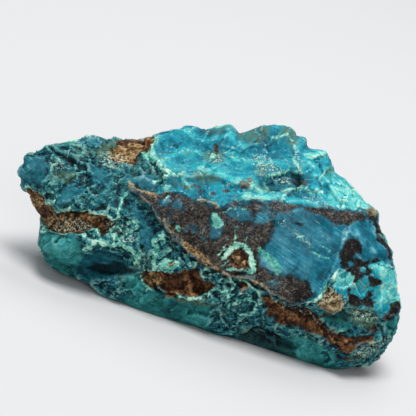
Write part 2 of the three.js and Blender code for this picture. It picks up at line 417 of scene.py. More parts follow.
# Rims and veins: the left mass, the slip face with its round eye and streak, then the bright slope.
MINT_MARKS: Marks = (
    patch((-34, 47), (-31, 46.5), (-28, 46), (-29, 42), (-33, 42)),
    patch((1, 15.5), (3.5, 16), (5.5, 13), (6, 10), (4, 8.5), (1.5, 9.5)),
    vein(2.6, (-95, 45), (-88, 48), (-80, 51), (-70, 52.7), (-60, 55), (-55, 55.5)),
    vein(1.5, (-28, 57), (-26.5, 53), (-26, 51), (-28, 48.5), (-29, 46), (-34, 46)),
    vein(1.1, (-28, 43), (-26, 40.5), (-23, 37.5), (-21, 35.5), (-18, 34.7)),
    vein(1.1, *loop(-79.5, 23.7, 3.2, 3)),
    vein(1.3, (-77.6, 19), (-76.5, 17.2), (-73.5, 16.2), (-70.5, 17.2), (-69.3, 19.6)),
    vein(1.2, (-69.3, 18), (-67.5, 16), (-65, 16.2), (-61, 17.2), (-56, 17), (-51, 15.5), (-47, 13)),
    vein(1, (-92, 29.5), (-90, 29), (-87, 27), (-84, 26.5), (-82, 27)),
    vein(1.3, (-42, 26.5), (-44, 24), (-45, 19), (-46, 15), (-46.5, 10)),
    vein(1.5, *loop(-46.5, 6, 3.2, 2.8)),
    vein(0.9, *loop(-58, 6, 2.3, 1.8)),
    vein(1, (-45, 14), (-41, 11), (-37, 12), (-36, 8), (-40, 6), (-43, 9)),
    vein(0.9, (-87, 7), (-80, 7.6), (-76, 5.7), (-73, 5), (-68, 5.2), (-65, 3.8), (-62, 3)),
    vein(1.8, (-62, -1), (-58, 0.8), (-55, 2), (-50, 0), (-46, 1), (-42, -1), (-38, -3), (-36, -5.5)),
    vein(1.2, (-34, -17), (-31, -22), (-29, -23)),
    vein(1, (-35, -16), (-33, -13), (-28, -11.8), (-22, -12.3)),
    vein(2.2, (-28, 2), (-27, -3), (-28, -8), (-27, -12)),
    vein(0.8, *loop(-2, -15.5, 2.4, 2.9)),
    vein(0.8, *loop(9, -20.5, 3, 2.1, -10)),
    vein(0.8, *loop(15, -27, 5, 1.9)),
    vein(0.9, (9, -33), (13, -29.7), (20, -29.2), (22.5, -32), (21, -35.5), (14, -36)),
    vein(1, (4, -17.5), (9, -17.6), (14, -18), (19, -19.4), (23, -23), (25, -26.5)),
    vein(1.4, (-16, -25), (-10, -27), (-3, -26), (2, -23), (5, -24), (9, -23)),
    vein(0.8, (8, -23), (10, -26), (9, -30)),
    vein(0.9, (24, -29), (27, -33), (26, -38)),
    vein(2.6, (7, -6), (10, -2), (13, -0.3), (17, -0.8), (20, -4), (21, -9), (21.5, -12), (20, -13.5)),
    vein(0.8, (20, -13.5), (17, -12), (12, -12), (8, -12.6), (6.4, -11), (8, -9), (10, -7.5)),
    vein(4.2, (25.5, -3), (28.5, -5.5), (31.5, -9), (34, -12.5)),
    vein(1.5, (45, -31), (50, -29), (54, -26.5), (60, -19), (65, -12)),
    vein(0.3, (12.6, 8.5), (12.4, 5), (12.2, 1.5)),
    vein(0.1, (18.3, 5.5), (17.8, 2)),
    vein(0.4, (3.5, -5.5), (5.5, -3), (7.5, -1)),
    vein(0.5, (7, 16), (10, 17.6), (13, 17), (13.5, 14.5)),
    vein(0.4, (15, 20), (17, 17.5), (19, 18.5)),
    vein(0.5, (-24.5, 19), (-23, 22.5), (-21, 24.5)),
    vein(0.7, (44, 4.8), (46.5, 4)),
    vein(0.6, (50, -2.8), (55, -5.2), (59.6, -6.4)),
    vein(0.3, (54, 0.6), (57, -1.4), (59.8, -3.2)),
    vein(0.7, (28, 50), (31, 53), (37, 54), (42, 53)),
    vein(0.9, (42, 50), (43, 45), (42, 42), (44, 39), (45, 37)),
    vein(1.2, (28, 27.5), (27, 31), (28.5, 33.5), (33, 35.5), (40, 36.8), (45, 36)),
    vein(1, (28, 27.5), (33, 26.3), (40, 27.5), (45, 29.5), (48, 28), (51, 26.7), (56, 26.5)),
    vein(1, (-28, 31), (-24, 34), (-18, 34.5), (-15, 34), (-12, 31), (-10, 28), (-8, 27)),
    *ovals(
        (-84.5, 9.5, 1.6, 1.2), (-37, -6.3, 2.6, 3.4, 15), (-24, 3, 1.6, 2.4), (-20.3, -9.7, 4.8, 3.2, -5),
        (-15.7, 8.6, 0.9, 2.2), (1.3, 44.5, 1.7, 1.2, 40), (-22, 28, 2, 1.4),
    ),
    *ovals((-20, -9.3, 2.2, 1.2, -5), cut=True),
)
# Pale places, partly the stone's own paler colour and partly painted highlights: along crests, the top-left
# edge, the folds across the slip face and the lobe's top.
PALE_MARKS: Marks = (
    patch(
        (63, 40), (66, 34), (72, 30), (80, 20), (84, 17), (79, 18.5), (70, 18.7), (62, 20), (57, 22.5),
        (60, 28), (62, 33),
    ),
    patch((80, -9), (88, -8), (93, -6), (100, -8), (100, -32), (92, -30), (84, -31), (86, -20), (84, -15)),
    patch((-84, 4), (-76, 3), (-68, 1), (-64, -2), (-66, -8), (-72, -10), (-80, -6), (-86, 0)),
    patch((62, -13), (68, -13), (74, -17), (72, -20), (66, -22), (61, -19)),
    patch((48, 42.5), (49, 47), (57, 47), (59.5, 43), (56, 42), (52, 42.4)),
    vein(0.9, (-15, 58), (-11, 55), (-8, 53), (-3, 53.5), (3, 54), (8, 53), (13, 51), (16, 50)),
    vein(1.6, (-4, 37.5), (-1, 37), (4, 36), (8, 34), (13, 31.5), (17, 30), (22, 29.5), (26, 27)),
    vein(1, (12, 44), (18, 42), (25, 40), (31, 41), (37, 39)),
    vein(1.2, (16, 24.5), (24, 24), (34, 24), (42, 23), (52, 22)),
    vein(0.5, (-26, 40), (-20, 45), (-12, 47), (-6, 46), (0, 43)),
    vein(1, (47.7, 40.6), (51.7, 42.6), (54.3, 42.1), (58.4, 42.1)),
    vein(1, (50.2, 34), (54.8, 34.8), (56, 34), (60.9, 29.8), (66, 25.8), (68.6, 21.7)),
    vein(0.8, (51.7, 29.8), (58.4, 24.7), (63.5, 22.2)),
    vein(0.8, (50, 38), (55, 38.5), (60, 37.5)),
    vein(1.6, (7, -5), (10, -2), (13, -0.3), (17, -0.8), (20, -4), (21, -9)),
    vein(1.2, (69, 9), (66, 2), (63.6, -4), (61, -9.5), (57, -17), (53.5, -24)),
    vein(1.6, (73.6, 10), (73, 5)),
    vein(1.4, (80, 11), (82, 4), (82, -3)),
    vein(0.6, (-42, 33.5), (-34, 34.8), (-28, 31)),
    vein(0.6, (-67, 51), (-61, 52), (-56, 52)),
    vein(0.7, (-75, 28.4), (-69, 29.6), (-64.5, 31)),
)
# Smooth glassy places, most of them in the left mass.
GLASS_MARKS: Marks = (
    patch((-94, 43), (-87, 43), (-80, 41), (-79, 38), (-82, 33), (-85, 31), (-93, 31), (-95, 36)),
    patch((-60, 40), (-54, 39), (-50, 35), (-50, 30), (-55, 29), (-60, 32)),
    patch((-74, 28.5), (-66, 30.5), (-63, 26.5), (-70, 21), (-76, 20)),
    patch((-42, 25), (-38, 20), (-33, 15), (-29, 8), (-27, 2), (-30, -3), (-34, 0), (-35, 8), (-40, 16)),
    patch((-67, 52.5), (-55, 53), (-55, 50), (-66, 49)),
    patch((-67, -13), (-62, -4), (-57, -1), (-50, -2), (-42, -8), (-40, -12), (-50, -18), (-62, -18)),
    patch(
        (25, 30.5), (30, 33.5), (36, 35), (43, 36.5), (50, 34), (51, 31), (45, 29.5), (38, 27.5),
        (29, 27.5),
    ),
    patch((-43, 34), (-30, 36), (-26, 30), (-31, 28), (-38, 31)),
    *ovals((-19, 30.5, 5, 2.5, 10)),
)
# Hollows, sunk into the relief and darkened with painted shade.
SHADED_HOLLOW_MARKS: Marks = (
    patch(
        (-63, -11.5), (-57, -9), (-52, -9.5), (-48, -7.5), (-44, -9), (-38, -12), (-36, -14), (-44, -16),
        (-53, -15),
    ),
    patch((40.5, 32), (43, 35), (45.5, 34), (45.5, 30.5), (43.5, 29)),
    patch((10, -14), (14, -12.4), (18, -13), (19, -15), (12, -16)),
    patch((20, -42), (30, -44), (42, -49), (44, -56), (30, -60), (10, -50)),
    vein(1, (-81, 6), (-77, 4.8), (-73, 3.5)),
    vein(0.8, (25, 29.6), (29, 27.6), (35, 27.4)),
    *ovals(
        (61, -36, 3.6, 1.4, -15), (-85, 30, 3, 1.2, -10), (-46.5, 6, 1.8, 1.5), (-2, -15.5, 1.7, 2.2),
        (9, -20.5, 2.4, 1.6, -10),
    ),
)

# Each ground's marks. A cut takes away from the marks before it.
GROUNDS: dict[Ground, Marks] = {
    Ground.SLIP: (SLIP_FACE,),
    Ground.AZURE: AZURE_MARKS,
    Ground.GREEN: GREEN_MARKS,
    Ground.BLACK: (LIP, *BLACK_MARKS),
    Ground.BROWN: BROWN_MARKS,
    Ground.TAN: TAN_MARKS,
    Ground.MINT: MINT_MARKS,
    Ground.PALE: PALE_MARKS,
    Ground.GLASS: GLASS_MARKS,
    Ground.DARK: SHADED_HOLLOW_MARKS,
}

# Where mossy dapples lie.
DAPPLED: Marks = (
    patch((-4, 64), (-3, 56), (5, 55), (10, 56), (16, 52), (20, 48), (27, 50), (30, 56), (30, 64)),
    patch((33, 64), (34, 54), (38, 50), (42, 46), (45, 50), (47, 58), (44, 64)),
    patch((57, 37), (60, 40), (64, 37), (60, 34)),
    patch((68, -29), (78, -30), (85, -33), (84, -40), (76, -43), (70, -38)),
    *ovals(
        (27, 37, 6, 4, 20), (-2, 33.5, 8, 3, -5), (2, 44, 7, 4, 0), (24, 53, 4.5, 4, 40),
        (-52, 47, 4, 7, -40), (-73, 34, 7, 3, 10), (-8, -28, 12, 3, -10), (-12, 28.5, 4, 1.2, -20),
        (76, -55, 10, 2.5, 20),
    ),
)
# Where cream flecks lie.
FLECKED: Marks = (
    patch((20, 41), (23, 37), (26, 32), (32, 33), (36, 37), (33, 41), (27, 45), (21, 45)),
    patch((41, 51), (41, 44), (43, 37), (46, 37), (46, 43), (45, 51)),
    patch((55, -29), (58, -24), (61, -23), (61.5, -26), (58, -30)),
    patch((34, -31), (50, -35.5), (62, -45), (50, -37.5), (36, -33.5)),
    *ovals(
        (37, 32, 6, 2.6, 0), (55, 22, 9, 2, -20), (3, 43, 5, 3, 0), (80, -51, 11, 3.4, 25),
        (-70, 9.5, 12, 3.2, 0), (45, 4, 8, 1.4, -40), (37, 11, 3, 2, 0), (77, -35, 7, 3.4, -15),
        (-74, 40, 5, 2, 10), (-48, 42, 7, 4, 0), (-45, 6, 9, 5, -30),
    ),
)

# Gentle folds of the slip face, which rises towards its right end.
CREASES: tuple[Scarp, ...] = (
    scarp(-1.3, 16, (50, -29), (53, -25), (57, -19), (61, -12), (64, -4), (66, 2), (69, 9), (71, 14)),
    scarp(0.7, 5, (70, 13), (69.5, 7), (72, 3), (75.5, 1), (77, -6)),
    scarp(0.5, 14, (24, -9), (26, 2), (31, 12), (38, 17)),
)
# Broken steps: the bright upper slope, the left mass, then the right end.
SCARPS: tuple[Scarp, ...] = (
    scarp(1.4, 9, (14, 51.5), (9, 53.5), (0, 53), (-7, 52.5), (-14, 55)),
    scarp(2.2, 12, (-20, 34.5), (-10, 32.5), (0, 34.5), (12, 30), (20, 27.5), (26, 29.5)),
    scarp(2, 10, (24.5, 31.5), (30, 33.5), (39, 36.5), (46, 35.5), (50, 30.5)),
    scarp(2.4, 9, (44, 43), (50, 42), (55, 44), (60, 47)),
    scarp(2, 12, (54, 35), (57, 32), (60, 28.5), (65, 23.5), (72, 19)),
    scarp(1.4, 6, (49, 33), (55, 33), (61, 38.5), (64, 35)),
    scarp(1.2, 8, (-16, 34), (-20, 36), (-26, 43), (-28, 50), (-31, 56)),
    scarp(1, 9, (3, 43), (-8, 40), (-19, 41), (-25, 48)),
    scarp(1, 7, (12, 44), (18, 42), (25, 40), (31, 41), (37, 39)),
    scarp(1.2, 5, (42, 50), (43, 45), (42, 41)),
    scarp(1.6, 12, (-82, 24), (-77, 17.5), (-70, 16.5), (-62, 17), (-52, 15.5), (-45, 11)),
    scarp(1.4, 10, (-66, -3), (-58, 0.8), (-50, 0), (-42, -1.5), (-34, -8)),
    scarp(0.7, 12, (-62, 2), (-68, 5), (-76, 6), (-89, 8)),
    scarp(1, 8, (-17, 28), (-27, 31.5), (-34, 35.5), (-45, 33.5)),
    scarp(1.2, 8, (-78, 27), (-69, 29.6), (-61, 34)),
    scarp(1.4, 12, (-72, 44), (-60, 41), (-50, 42), (-40, 38)),
    scarp(1.2, 9, (-79, 44), (-78, 38), (-84, 30)),
    scarp(1, 9, (-46, 3), (-44, 12), (-43, 20), (-40, 26)),
    scarp(1.4, 9, (60, -34), (70, -31), (80, -33), (90, -32)),
    scarp(1.2, 8, (88, -6), (84, -14), (86, -24), (84, -33)),
    scarp(1.6, 10, (30, -34), (46, -44), (62, -53), (76, -52), (88, -44)),
)


def bearing(places: np.ndarray) -> np.ndarray:
    """The direction of each place from the slab frame's origin, in degrees from the left, clockwise."""
    return (np.degrees(np.arctan2(places[:, 1], -places[:, 0])) + SEAM) % 360.0 - SEAM


def draw(marks: Marks, places: np.ndarray) -> np.ndarray:
    """Draws one ground's marks, in their order.

    Args:
        marks: The patches and veins.
        places: Where to look on the best face, as u and v in mm.

    Returns:
        How far inside the marks each place is, in mm, negative outside them.
    """
    depth = np.full(len(places), -DEEPEST)
    for mark in marks:
        now = mark.inside(places)
        depth = np.minimum(depth, -now) if mark.cut else np.maximum(depth, now)
    return depth


# Turns the heart of a flake into a steady, random-looking tilt.
MIXING = ((12.99, 78.23, 37.72), (39.35, 11.14, 83.16), (73.16, 52.24, 9.15))
SCATTER = 4375.85


@dataclass(frozen=True)
class Flakes:
    """Shallow break faces all over the stone, each tilted its own way, that meet in sharp crests.

    Azure, green and crusty say how much they show on those grounds, and spared how little on pale green.
    """

    size: float
    tilt: float
    seed: float
    bend: float
    hollow: float
    azure: float
    green: float
    crusty: float
    spared: float = 0.0
    sharp: float = 30.0
    most: float = 0.3

    def lift(self, points: np.ndarray) -> np.ndarray:
        """How far each slab point is lifted, in mm, about zero on the whole."""
        bends = [self.bend * self.size * grain(points, 0.9 * self.size, self.seed + k, 2) for k in (1, 2, 3)]
        places = (points + np.stack(bends, axis=1)) / self.size + self.seed
        hearts = np.array([[tuple(heart) for heart in noise.voronoi(Vector(p))[1]] for p in places])
        away = places[:, None, :] - hearts
        luck = np.modf(np.abs(np.sin(hearts @ np.array(MIXING))) * SCATTER)[0] * 2 - 1
        height = (away * luck).sum(axis=2) + self.hollow * (away**2).sum(axis=2)
        share = np.exp(-self.sharp * (height - height.min(axis=1, keepdims=True)))
        lowest = (share * height).sum(axis=1) / share.sum(axis=1)
        return self.tilt * self.size * np.minimum(lowest - lowest.mean(), self.most)


class Survey:
    """The mesh's corners as arrays, and the grounds at each of them."""

    def __init__(self, points: np.ndarray, normals: np.ndarray) -> None:
        """Draws every mark, and grows made-up grounds where the best face ends.

        Args:
            points: The corners, in the slab frame.
            normals: Their normals there.
        """
        self.points = points
        self.facing = ease(*FACING, normals[:, 2])
        away = 1 - self.facing
        places = SLAB.drawn(points) + self.waver()
        self.inside = {
            ground: np.clip(draw(GROUNDS[ground], places) * self.facing + made_up * away, -DEEPEST, DEEPEST)
            for ground, made_up in self.elsewhere().items()
        }
        self.dapple, self.flecks = (
            draw(marks, places) * self.facing - DEEPEST * away for marks in (DAPPLED, FLECKED)
        )
        self.steps, self.crease = (
            np.sum([step.lift(places) for step in steps], axis=0) * self.facing for steps in (SCARPS, CREASES)
        )
        self.lip = LIP.from_middle(places)

    def waver(self) -> np.ndarray:
        """A small sideways wander, so that no drawn edge is quite smooth."""
        broad = [0.9 * grain(self.points, 6.0, seed, 2) for seed in (3.0, 5.0)]
        fine = [0.5 * grain(self.points, 1.8, seed, 2) for seed in (7.0, 11.0)]
        return np.stack([broad[0] + fine[0], broad[1] + fine[1]], axis=1)

    def elsewhere(self) -> dict[Ground, np.ndarray]:
        """Grounds for the top, sides, back and underside, which follow no drawing."""
        broad = grain(self.points, 42.0, 21.0, 3)
        rust = grain(self.points, 26.0, 33.0, 4)
        crust = grain(self.points, 20.0, 47.0, 4)
        web = np.abs(grain(self.points, 17.0, 59.0, 3))
        upper = self.points[:, 1] * 0.006
        return {
            Ground.AZURE: 30 * (broad + 0.05 + upper),
            Ground.GREEN: 30 * (-broad - 0.22 - upper),
            Ground.SLIP: np.full(len(broad), -DEEPEST),
            Ground.BLACK: 22 * (crust - 0.42),
            Ground.BROWN: 22 * (rust - 0.36),
            Ground.TAN: 20 * (rust - 0.62),
            Ground.MINT: 14 * (0.035 - web),
            Ground.DARK: np.full(len(broad), -DEEPEST),
            Ground.GLASS: 20 * (grain(self.points, 18.0, 77.0, 2) - 0.3),
            Ground.PALE: 16 * (grain(self.points, 12.0, 63.0, 3) - 0.3),
        }


# Over which distances inside a ground's edge its relief comes in, mm.
RELIEF_EDGES: dict[Ground, tuple[float, float]] = {
    Ground.AZURE: (-2.0, 2.0),
    Ground.GREEN: (-2.0, 2.0),
    Ground.SLIP: (-0.4, 1.4),
    Ground.BLACK: (-0.6, 0.6),
    Ground.BROWN: (-0.8, 1.2),
    Ground.TAN: (-0.6, 0.8),
    Ground.MINT: (-0.9, 0.6),
    Ground.DARK: (-0.5, 2.5),
    Ground.PALE: (-2.2, 1.2),
    Ground.GLASS: (-1.0, 2.0),
}


@dataclass(frozen=True)
class Rock:
    """The whole stone, as one closed mesh with finer corners on its best face. Sizes are in mm."""

    voxel: float = 2.15
    finer_above: float = 0.2  # for faces whose normals turn to the best face by more than this
    above_rest: tuple[float, float] = (0.2, 4.8)  # between these heights the relief comes in
    trim_step: float = 0.5  # degrees
    trim_most: float = 0.08  # of the distance from the middle, like the nicks
    trim_depth: tuple[float, float] = (22.0, 40.0)
    nicks: float = 0.009
    crest_turns: tuple[int, ...] = (2, 9)
    crest_most: float = 1.5
    breaks: tuple[Flakes, ...] = (
        Flakes(20.0, tilt=0.42, seed=4.0, bend=0.1, hollow=0.2, azure=0.18, green=0.3, crusty=0.45),
        Flakes(10.0, tilt=0.4, seed=12.0, bend=0.08, hollow=0.2, azure=0.3, green=0.1, crusty=0.2),
        Flakes(5.0, tilt=0.5, seed=9.0, bend=0.2, hollow=0.3, azure=0.22, green=0.25, crusty=0.8, spared=1.0),
    )

    def rough_copy(self) -> bpy.types.Object:
        """Copies the frame's stone, merges its loose triangles and gives it an even skin."""
        bpy.ops.object.select_all(action="DESELECT")
        piece = bpy.data.objects.new("chrysocolla_rock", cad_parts[NODE].data.copy())
        bpy.context.scene.collection.objects.link(piece)
        piece.select_set(True)
        bpy.context.view_layer.objects.active = piece
        piece.data.materials.clear()
        bpy.ops.object.mode_set(mode="EDIT")
        bpy.ops.mesh.select_all(action="SELECT")
        bpy.ops.mesh.remove_doubles(threshold=1e-6)
        bpy.ops.object.mode_set(mode="OBJECT")
        skin = piece.modifiers.new("even skin", "REMESH")
        skin.mode = "VOXEL"
        skin.voxel_size = self.voxel / MM
        bpy.ops.object.modifier_apply(modifier=skin.name)
        relax = piece.modifiers.new("relax", "SMOOTH")
        relax.factor = 0.5
        relax.iterations = 5
        bpy.ops.object.modifier_apply(modifier=relax.name)
        return piece

    def refine(self, piece: bpy.types.Object) -> None:
        """Splits the skin's faces, more finely on the best face."""
        ahead = Vector(SLAB.axes[2])
        best = np.array([face.normal.dot(ahead) > self.finer_above for face in piece.data.polygons])
        bpy.ops.object.mode_set(mode="EDIT")
        bpy.ops.mesh.select_mode(type="FACE")
        bpy.ops.mesh.select_all(action="DESELECT")
        bpy.ops.object.mode_set(mode="OBJECT")
        piece.data.polygons.foreach_set("select", best)
        bpy.ops.object.mode_set(mode="EDIT")
        bpy.ops.mesh.subdivide(number_cuts=2)
        bpy.ops.mesh.select_all(action="INVERT")
        bpy.ops.mesh.subdivide(number_cuts=1)
        bpy.ops.mesh.select_all(action="DESELECT")
        bpy.ops.mesh.select_face_by_sides(number=4, type="GREATER")
        bpy.ops.mesh.quads_convert_to_tris()
        bpy.ops.object.mode_set(mode="OBJECT")

    def measure(self, piece: bpy.types.Object) -> tuple[np.ndarray, np.ndarray]:
        """The mesh's corners and their normals, in the slab frame."""
        count = len(piece.data.vertices)
        spots, normals = np.empty(count * 3), np.empty(count * 3, np.float32)
        piece.data.vertices.foreach_get("co", spots)
        piece.data.vertex_normals.foreach_get("vector", normals)
        return SLAB.to_slab(spots.reshape(-1, 3)), normals.reshape(-1, 3) @ SLAB.axes.T

    def relief(self, survey: Survey) -> np.ndarray:
        """How far each corner moves out along its normal, in mm."""
        points = survey.points
        azure, green, slip, black, brown, tan, mint, dark, pale, glass = (
            ease(*edge, survey.inside[ground]) for ground, edge in RELIEF_EDGES.items()
        )
        broken = 1 - slip
        azure, green = azure * broken, green * broken
        crusty = broken * (1 - azure) * (1 - 0.7 * green) * (1 - 0.8 * glass)
        lumps = grain(points, 9.0, 71.0, 3)
        gritty = grain(points, 2.6, 83.0, 3)
        fine = grain(points, 1.3, 97.0, 2)
        lift = np.zeros(len(points))
        for kind in self.breaks:
            on_green = green * kind.green * (1 - kind.spared * pale)
            lift += broken * (azure * kind.azure + on_green + crusty * kind.crusty) * kind.lift(points)
        lift += broken * (0.5 - 0.4 * azure - 0.2 * green) * (1 - 0.7 * glass) * lumps + 0.12 * slip * lumps
        lift += gritty * (crusty * 0.4 + azure * 0.12 + green * 0.04) * (1 - brown)
        lift += survey.steps * 0.8 * broken + survey.crease
        lift += slip * black * (0.32 * gritty + 0.2 * fine - 0.35)
        lift += brown * (0.4 * gritty + 0.2 * fine - 1.1)
        lift += tan * (0.2 * gritty + 0.15 * fine)
        lift += mint * (0.25 - 0.15 * azure + 0.2 * fine) * (1 - 0.2 * slip)
        lift -= 1.8 * dark
        step = ease(-1.6, 0.2, survey.inside[Ground.SLIP]) - 1
        lift += 2.0 * step * (1 - ease(5.0, 15.0, survey.lip)) * survey.facing
        return lift

    def trim(self, points: np.ndarray) -> np.ndarray:
        """Draws the stone's edge in or out, so that it meets the outline in each direction.

        Args:
            points: The corners, in the slab frame.

        Returns:
            The corners after the move, which fades away towards the middle and the back.
        """
        places = SLAB.drawn(points)
        ring = np.array(OUTLINE)
        angle, reach = bearing(places), np.hypot(*places.T)
        steps = np.arange(bearing(ring)[0], bearing(ring)[-1], self.trim_step)
        wanted = self.outline_reach(ring, steps)
        slots = np.clip(np.round((angle - steps[0]) / self.trim_step).astype(int), 0, len(steps) - 1)
        within = (angle > steps[0]) & (angle < steps[-1])
        found = np.zeros(len(steps))
        np.maximum.at(found, slots[within], reach[within])
        found = np.maximum(found, np.maximum(np.roll(found, 1), np.roll(found, -1)))
        change = np.clip(wanted / found - 1, -self.trim_most, self.trim_most)
        change = np.convolve(change, np.full(3, 1 / 3), "same")
        ends = ease(0, 8, angle - steps[0]) * ease(3, 16, steps[-1] - angle)
        near = ease(0.8, 0.97, reach / found[slots]) * (1 - ease(*self.trim_depth, -points[:, 2]))
        moved = points.copy()
        nicks = self.nicks * grain(points, 4.5, 101.0, 3)
        moved[:, :2] *= 1 + ((np.interp(angle, steps, change) + nicks) * ends * near)[:, None]
        return moved

    def outline_reach(self, ring: np.ndarray, steps: np.ndarray) -> np.ndarray:
        """The outline's distance from the origin at each of the given bearings."""
        shares = np.linspace(0, 1, 9)[:-1, None]
        dense = np.concatenate([start + shares * (end - start) for start, end in zip(ring[:-1], ring[1:])])
        order = np.argsort(bearing(dense))
        return np.interp(steps, bearing(dense)[order], np.hypot(*dense.T)[order])

    def shape(self, piece: bpy.types.Object) -> Survey:
        """Moves the corners by the relief, leaving the resting face flat.

        Args:
            piece: The even-skinned stone.

        Returns:
            The survey that the relief was drawn from.
        """
        points, normals = self.measure(piece)
        survey = Survey(points, normals)
        lift = self.relief(survey)
        rest = SLAB.to_rest(points)
        lift *= ease(*self.above_rest, rest[:, 2] * MM)
        moved = SLAB.to_rest(self.trim(points + normals * lift[:, None]))
        moved[:, 2] = np.maximum(moved[:, 2], 0.0)
        piece.data.vertices.foreach_set("co", moved.astype(np.float32).ravel())
        piece.data.update()
        return survey

    def crests(self, piece: bpy.types.Object) -> np.ndarray:
        """How much each corner stands out from its surroundings: above 0 on a crest, below 0 in a pit."""
        points, normals = self.measure(piece)
        count = len(points)
        pairs = np.empty(len(piece.data.edges) * 2, np.int64)
        piece.data.edges.foreach_get("vertices", pairs)
        one, two = pairs.reshape(-1, 2).T

        def gather(values: np.ndarray) -> np.ndarray:
            """Each corner's sum of its neighbours' values."""
            return np.bincount(one, values[two], count) + np.bincount(two, values[one], count)

        ways = gather(np.ones(count))
        around = points.copy()
        total = np.zeros(count)
        for turn in range(max(self.crest_turns) + 1):
            middle = np.stack([gather(column) for column in around.T], axis=1) / ways[:, None]
            around = 0.3 * around + 0.7 * middle
            if turn in self.crest_turns:
                total += ((points - around) * normals).sum(axis=1)
        return np.clip(total, -self.crest_most, self.crest_most)

    def build(self) -> bpy.types.Object:
        """Makes the finished stone, with its grounds on the mesh as attributes."""
        piece = self.rough_copy()
        self.refine(piece)
        survey = self.shape(piece)
        signals = {ground.value: survey.inside[ground] for ground in Ground}
        signals |= {"crest": self.crests(piece), "dapple": survey.dapple, "flecks": survey.flecks}
        for name, values in signals.items():
            layer = piece.data.attributes.new(name, "FLOAT", "POINT")
            layer.data.foreach_set("value", values.astype(np.float32))
        piece.data.polygons.foreach_set("use_smooth", np.ones(len(piece.data.polygons), bool))
        piece.data.materials.append(RockFinish().material())
        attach(piece, "root")
        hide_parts(NODE)
        return piece


@dataclass
class Signal:
    """One number or colour that varies over the surface, with Python's own arithmetic."""

    graph: "Graph"
    socket: bpy.types.NodeSocket

    def math(self, operation: str, *others: "Signal | float") -> "Signal":
        """Adds a Math node that joins this signal and others."""
        return self.graph.calculate(operation, self, *others)

    def __add__(self, other: "Signal | float") -> "Signal":
        """This plus other."""
        return self.math("ADD", other)

    __radd__ = __add__

    def __mul__(self, other: "Signal | float") -> "Signal":
        """This times other."""
        return self.math("MULTIPLY", other)

    __rmul__ = __mul__

    def __sub__(self, other: "Signal | float") -> "Signal":
        """This less other."""
        return self.math("SUBTRACT", other)

    def __rsub__(self, other: float) -> "Signal":
        """A plain number less this."""
        return self.graph.calculate("SUBTRACT", other, self)

    def rise(self, low: "Signal | float", high: "Signal | float") -> "Signal":
        """0 below low, 1 above high, and smooth between."""
        limits = {1: low, 2: high, 3: 0.0, 4: 1.0}
        return self.graph.add("ShaderNodeMapRange", {"interpolation_type": "SMOOTHSTEP"}, {0: self, **limits})

    def ramp(self, shades: Shades) -> "Signal":
        """A colour that follows this number through the shades."""
        return self.graph.add("ShaderNodeValToRGB", {"shades": shades}, {0: self})


class Graph:
    """A material's node tree, built from Python expressions."""

    def __init__(self, name: str) -> None:
        """Starts an empty material of that name."""
        self.material = bpy.data.materials.new(name)
        self.material.use_nodes = True
        self.tree = self.material.node_tree
        self.tree.nodes.clear()

    def node(self, kind: str, settings: dict[str, object], inputs: Inputs) -> bpy.types.Node:
        """Adds a node.

        Args:
            kind: The node's type.
            settings: Its own settings, set first, or the shades of a colour ramp.
            inputs: A value or a Signal for each socket, by name or number.

        Returns:
            The node.
        """
        made = self.tree.nodes.new(kind)
        for name, value in settings.items():
            if name == "shades":
                self.shade(made.color_ramp, value)
            else:
                setattr(made, name, value)
        for name, value in inputs.items():
            if isinstance(value, Signal):
                self.tree.links.new(value.socket, made.inputs[name])
            else:
                made.inputs[name].default_value = value
        return made

    def shade(self, band: bpy.types.ColorRamp, shades: Shades) -> None:
        """Gives a colour ramp its shades."""
        while len(band.elements) < len(shades):
            band.elements.new(0.5)
        for element, (place, colour) in zip(band.elements, shades):
            element.position = place
            element.color = colour

    def add(self, kind: str, settings: dict[str, object], inputs: Inputs, output: int | str = 0) -> Signal:
        """Adds a node and gives one of its outputs."""
        return Signal(self, self.node(kind, settings, inputs).outputs[output])

    def calculate(self, operation: str, *parts: Signal | float) -> Signal:
        """Adds a Math node that joins the parts."""
        return self.add("ShaderNodeMath", {"operation": operation}, dict(enumerate(parts)))

    def vector(self, operation: str, inputs: Inputs, output: str = "Vector") -> Signal:
        """Adds a Vector Math node."""
        return self.add("ShaderNodeVectorMath", {"operation": operation}, inputs, output)

    def attribute(self, name: str) -> Signal:
        """A number carried by the mesh."""
        return self.add("ShaderNodeAttribute", {"attribute_name": name}, {}, "Fac")

    def noise(self, place: Signal, scale: float, detail: float = 3.0, roughness: float = 0.55) -> Signal:
        """Smooth noise of about 0 to 1 at place, with scale lumps to the mm."""
        inputs = {"Vector": place, "Scale": scale, "Detail": detail, "Roughness": roughness}
        return self.add("ShaderNodeTexNoise", {}, inputs)

    def along(self, place: Signal, axis: Vector) -> Signal:
        """How far place lies along axis."""
        return self.vector("DOT_PRODUCT", {0: place, 1: tuple(axis)}, "Value")

    def cracks(self, place: Signal, scale: float) -> Signal:
        """Distance to the nearest wall of a web of cells, scale cells to the mm."""
        inputs = {"Vector": place, "Scale": scale}
        return self.add("ShaderNodeTexVoronoi", {"feature": "DISTANCE_TO_EDGE"}, inputs)

    def mix(self, factor: Signal, under: Signal | Colour, over: Signal | Colour) -> Signal:
        """Lays one colour over another by factor."""
        return self.add("ShaderNodeMix", {"data_type": "RGBA"}, {0: factor, 6: under, 7: over}, 2)

    def shift(self, place: Signal, by: Signal, much: float) -> Signal:
        """Moves place about by a colour noise, by up to about much."""
        centred = self.vector("SUBTRACT", {0: by, 1: (0.5, 0.5, 0.5)})
        scaled = self.vector("SCALE", {0: centred, "Scale": much})
        return self.vector("ADD", {0: place, 1: scaled})

    def surface(self, inputs: Inputs) -> bpy.types.Material:
        """Ends the tree in a surface with those inputs."""
        shader = self.node("ShaderNodeBsdfPrincipled", {}, inputs)
        output = self.node("ShaderNodeOutputMaterial", {}, {})
        self.tree.links.new(shader.outputs[0], output.inputs[0])
        return self.material


